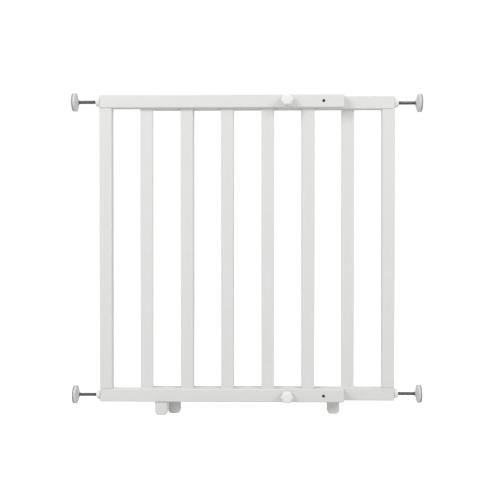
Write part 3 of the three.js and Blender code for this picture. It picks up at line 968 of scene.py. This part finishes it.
def make_bolt(row):
    """A round-headed bolt with a square neck, put in from the back."""
    sizes = bpy.context.scene.gate_clamps
    node = f"{row}_bolt"
    start, length, head = round_box(node, TOWARDS_FRONT)
    head_height, neck_height, thread_depth = 4.0, 6.1, 0.5
    shank = sizes.bolt_radius / MM
    thread_start = length - sizes.thread_length / MM
    dome = ((0.0, 0.0), (0.30, 0.06), (0.56, 0.22), (0.78, 0.46), (0.92, 0.72), (1.0, 0.93))
    profile = [(share * head, rise * head_height) for share, rise in dome]
    profile += [
        (head - 0.1, head_height), (shank, head_height), (shank, thread_start - 0.3),
        (shank - thread_depth, thread_start), (shank - thread_depth, thread_start + 1.0),
        (0.0, thread_start + 1.0),
    ]
    bm = turned_mesh(profile, 48)
    neck_low = Vector((-shank, -shank, head_height - 0.5)) * MM
    neck_high = Vector((shank, shank, head_height + neck_height)) * MM
    neck = box_mesh(neck_low, neck_high)
    round_edges(neck, neck.edges[:], 0.25 * MM, 2)
    add_mesh(bm, neck)
    thread = threaded_mesh(sizes.bolt_radius, sizes.bolt_pitch, thread_depth * MM, sizes.thread_length)
    bmesh.ops.translate(thread, verts=thread.verts, vec=(0, 0, thread_start * MM))
    add_mesh(bm, thread)
    point_along(bm, start, TOWARDS_FRONT)
    finish_piece("carriage", bm, zinc_steel(), node)


def make_washer(node, hole):
    """A flat washer with one stamped, rounded edge."""
    start, thickness, outer = round_box(node, TOWARDS_FRONT)
    profile = (
        (hole, 0.15), (hole + 0.15, 0.0), (outer - 0.15, 0.0), (outer, 0.15),
        (outer, thickness - 0.45), (outer - 0.15, thickness - 0.12), (outer - 0.45, thickness),
        (hole + 0.3, thickness), (hole, thickness - 0.3),
    )
    bm = turned_mesh(profile, 48, True)
    point_along(bm, start, TOWARDS_FRONT)
    finish_piece("stamped", bm, zinc_steel(), node)


def make_knob(row):
    """A lobed knob with a collar at the back and a pocket for its insert."""
    sizes = bpy.context.scene.gate_clamps
    node = f"{row}_knob"
    start, length, lobe = round_box(node, TOWARDS_FRONT)
    hole, hole_depth = 3.3, 13.6
    pocket, pocket_depth = 6.0, 8.8
    collar, collar_height = 10.0, 3.0
    rings = [
        (hole, hole_depth, 0.0), (hole, pocket_depth, 0.0),
        (pocket, pocket_depth, 0.0), (pocket, 0.3, 0.0), (pocket + 0.3, 0.0, 0.0),
        (collar - 0.5, 0.0, 0.0), (collar - 0.1, 0.4, 0.0),
        (collar, collar_height - 0.4, 0.0), (collar + 0.4, collar_height, 0.1),
        (lobe - 2.0, collar_height, 0.75), (lobe - 0.7, collar_height + 0.5, 0.95),
        (lobe - 0.1, collar_height + 1.5, 1.0), (lobe, 6.0, 1.0),
        (lobe, 14.5, 1.0), (lobe - 0.3, 16.2, 1.0), (lobe - 1.1, 17.8, 0.95),
        (lobe - 2.4, 19.0, 0.8), (lobe - 4.0, 19.6, 0.5), (lobe - 6.5, 19.9, 0.2),
        (3.0, length, 0.0),
    ]
    bm = lobed_mesh(rings, sizes.knob_lobes, sizes.knob_lobe_depth, False)
    point_along(bm, start, TOWARDS_FRONT)
    finish_piece("lobed", bm, moulded_plastic(), node, 50.0)


def dress_node(node, material):
    """Gives a CAD node that keeps its own shape its finish."""
    mesh_object = frame["nodes"][node]
    for slot in mesh_object.material_slots:
        slot.material = material
    if not mesh_object.material_slots:
        mesh_object.data.materials.append(material)


# ---- stage


def pale_floor_material():
    """A pale floor that takes soft shadows, and glows for the camera so that it looks white."""
    material = bpy.data.materials.new("Pale studio floor")
    material.use_nodes = True
    tree = material.node_tree
    shader = tree.nodes["Principled BSDF"]
    set_values(shader, {"Roughness": 0.9, "Specular IOR Level": 0.0, "Emission Strength": 1.0})
    seen = tree.nodes.new("ShaderNodeLightPath")
    lit, in_view = (0.70, 0.70, 0.70), (0.72, 0.72, 0.72)
    dark, glowing = (0.0, 0.0, 0.0), (0.68, 0.68, 0.68)
    colour = blend_colours(tree, seen.outputs["Is Camera Ray"], lit, in_view)
    glow = blend_colours(tree, seen.outputs["Is Camera Ray"], dark, glowing)
    tree.links.new(colour, shader.inputs["Base Color"])
    tree.links.new(glow, shader.inputs["Emission Color"])
    return material


def add_soft_light(name, place, size, power):
    """A square soft light aimed at the middle of the gate."""
    target = Vector((0.0, 0.0, 0.4))
    light = bpy.data.lights.new(name, "AREA")
    light.shape = "SQUARE"
    light.size = size
    light.energy = power
    lamp = add_object(name, light)
    lamp.location = place
    lamp.rotation_euler = (target - Vector(place)).to_track_quat("-Z", "Y").to_euler()


def make_stage():
    """The floor, the white room, the soft lights and the camera."""
    scene = bpy.context.scene
    studio = scene.gate_studio
    bm = bmesh.new()
    bmesh.ops.create_grid(bm, x_segments=1, y_segments=1, size=30.0)
    mesh = bpy.data.meshes.new("studio_floor")
    bm.to_mesh(mesh)
    bm.free()
    mesh.materials.append(pale_floor_material())
    add_object("studio_floor", mesh)
    world = bpy.data.worlds.new("White room")
    scene.world = world
    world.use_nodes = True
    tree = world.node_tree
    backdrop = tree.nodes["Background"]
    backdrop.inputs["Color"].default_value = (1.0, 1.0, 1.0, 1.0)
    seen = tree.nodes.new("ShaderNodeLightPath")
    white = 1.05
    strength = spread(tree, seen.outputs["Is Camera Ray"], 0.0, 1.0, studio.room_light, white)
    tree.links.new(strength, backdrop.inputs["Strength"])
    add_soft_light("key_light", (-1.7, -1.7, 2.0), 1.1, studio.key_power)
    add_soft_light("fill_light", (1.9, -1.5, 1.8), 1.0, studio.fill_power)
    add_soft_light("top_light", (-0.3, 0.4, 2.6), 1.6, studio.top_power)
    lens = bpy.data.cameras.new("studio_camera")
    lens.sensor_width = 36.0
    lens.lens = studio.camera_lens
    lens.clip_start = 0.01
    camera = add_object("studio_camera", lens)
    camera.location = studio.camera_place
    camera.rotation_euler = studio.camera_turn
    scene.camera = camera
    scene.view_settings.view_transform = "Standard"
    scene.view_settings.look = "None"


# ---- operators


class GATE_OT_rails(bpy.types.Operator):
    """Makes the four rails of the two frames"""

    bl_idname = "gate.rails"
    bl_label = "Rails"

    def execute(self, context):
        for side in SIDES:
            for row in ROWS:
                make_rail(f"{side}_{row}_rail")
        return {"FINISHED"}


class GATE_OT_posts(bpy.types.Operator):
    """Makes the post of each frame"""

    bl_idname = "gate.posts"
    bl_label = "Posts"

    def execute(self, context):
        for side in SIDES:
            make_post(f"{side}_post")
        return {"FINISHED"}


class GATE_OT_slats(bpy.types.Operator):
    """Makes the slats of both frames"""

    bl_idname = "gate.slats"
    bl_label = "Slats"

    def execute(self, context):
        for side in SIDES:
            for number in range(1, SLATS_PER_FRAME + 1):
                make_slat(f"{side}_slat_{number}")
        return {"FINISHED"}


class GATE_OT_feet(bpy.types.Operator):
    """Makes the block feet under the bottom rails"""

    bl_idname = "gate.feet"
    bl_label = "Feet"

    def execute(self, context):
        for foot in FEET:
            make_foot(f"{foot}_foot")
        return {"FINISHED"}


class GATE_OT_foot_screws(bpy.types.Operator):
    """Makes the screws that hold the feet"""

    bl_idname = "gate.foot_screws"
    bl_label = "Foot Screws"

    def execute(self, context):
        for foot in FEET:
            make_foot_screw(f"{foot}_foot_screw")
        return {"FINISHED"}


class GATE_OT_hand_nuts(bpy.types.Operator):
    """Makes the ribbed hand nuts that push the spindles out"""

    bl_idname = "gate.hand_nuts"
    bl_label = "Hand Nuts"

    def execute(self, context):
        for corner in CORNERS:
            make_hand_nut(corner)
        return {"FINISHED"}


class GATE_OT_rods(bpy.types.Operator):
    """Makes the threaded rods"""

    bl_idname = "gate.rods"
    bl_label = "Threaded Rods"

    def execute(self, context):
        for corner in CORNERS:
            make_rod(corner)
        return {"FINISHED"}


class GATE_OT_wall_pads(bpy.types.Operator):
    """Makes the cups and the rubber faces of the wall pads"""

    bl_idname = "gate.wall_pads"
    bl_label = "Wall Pads"

    def execute(self, context):
        for corner in CORNERS:
            make_pad_cup(corner)
            make_pad_rubber(corner)
        return {"FINISHED"}


class GATE_OT_bolts(bpy.types.Operator):
    """Makes the bolts that clamp the frames together"""

    bl_idname = "gate.bolts"
    bl_label = "Clamp Bolts"

    def execute(self, context):
        for row in ROWS:
            make_bolt(row)
        return {"FINISHED"}


class GATE_OT_washers(bpy.types.Operator):
    """Makes the washers under the bolt heads and the knobs"""

    bl_idname = "gate.washers"
    bl_label = "Washers"

    def execute(self, context):
        for row in ROWS:
            make_washer(f"{row}_back_washer", BACK_WASHER_HOLE)
            make_washer(f"{row}_knob_washer", KNOB_WASHER_HOLE)
        return {"FINISHED"}


class GATE_OT_knobs(bpy.types.Operator):
    """Makes the lobed clamp knobs"""

    bl_idname = "gate.knobs"
    bl_label = "Clamp Knobs"

    def execute(self, context):
        for row in ROWS:
            make_knob(row)
        return {"FINISHED"}


class GATE_OT_inner_fittings(bpy.types.Operator):
    """Gives the dowels, bushings and knob inserts their finishes"""

    bl_idname = "gate.inner_fittings"
    bl_label = "Inner Fittings"

    def execute(self, context):
        for side in SIDES:
            for row in ROWS:
                dress_node(f"{side}_{row}_dowel", bare_beech())
        for corner in CORNERS:
            dress_node(f"{corner}_bushing", moulded_plastic())
        for row in ROWS:
            dress_node(f"{row}_knob_insert", zinc_steel())
        return {"FINISHED"}


class GATE_OT_stage(bpy.types.Operator):
    """Makes the pale floor, the soft lights and the camera"""

    bl_idname = "gate.stage"
    bl_label = "Studio Stage"

    def execute(self, context):
        make_stage()
        return {"FINISHED"}


class GATE_PT_panel(bpy.types.Panel):
    """Lists the gate's settings and its operators"""

    bl_idname = "GATE_PT_panel"
    bl_label = "Baby Gate"
    bl_space_type = "VIEW_3D"
    bl_region_type = "UI"
    bl_category = "Baby Gate"

    def draw(self, context):
        for operator in OPERATORS:
            self.layout.operator(operator.bl_idname)
        for label, group, holder in SETTINGS:
            box = self.layout.box()
            box.label(text=label)
            for name in group.__annotations__:
                box.prop(getattr(context.scene, holder), name)


OPERATORS = (
    GATE_OT_rails,
    GATE_OT_posts,
    GATE_OT_slats,
    GATE_OT_feet,
    GATE_OT_foot_screws,
    GATE_OT_hand_nuts,
    GATE_OT_rods,
    GATE_OT_wall_pads,
    GATE_OT_bolts,
    GATE_OT_washers,
    GATE_OT_knobs,
    GATE_OT_inner_fittings,
    GATE_OT_stage,
)
SETTINGS = (
    ("Wooden Frames", GateFrameSettings, "gate_frame"),
    ("Spindles", GateSpindleSettings, "gate_spindles"),
    ("Clamps", GateClampSettings, "gate_clamps"),
    ("Finishes", GateFinishSettings, "gate_finishes"),
    ("Studio", GateStudioSettings, "gate_studio"),
)


def register():
    """Registers the settings, the operators and the panel."""
    for label, group, holder in SETTINGS:
        bpy.utils.register_class(group)
        setattr(bpy.types.Scene, holder, PointerProperty(type=group))
    for operator in OPERATORS:
        bpy.utils.register_class(operator)
    bpy.utils.register_class(GATE_PT_panel)


def unregister():
    """Takes back what register() added."""
    bpy.utils.unregister_class(GATE_PT_panel)
    for operator in reversed(OPERATORS):
        bpy.utils.unregister_class(operator)
    for label, group, holder in reversed(SETTINGS):
        delattr(bpy.types.Scene, holder)
        bpy.utils.unregister_class(group)


def main():
    """Builds every piece and the stage, in order."""
    register()
    bpy.ops.gate.rails()
    bpy.ops.gate.posts()
    bpy.ops.gate.slats()
    bpy.ops.gate.feet()
    bpy.ops.gate.foot_screws()
    bpy.ops.gate.hand_nuts()
    bpy.ops.gate.rods()
    bpy.ops.gate.wall_pads()
    bpy.ops.gate.bolts()
    bpy.ops.gate.washers()
    bpy.ops.gate.knobs()
    bpy.ops.gate.inner_fittings()
    bpy.ops.gate.stage()


if __name__ == "__main__":
    main()
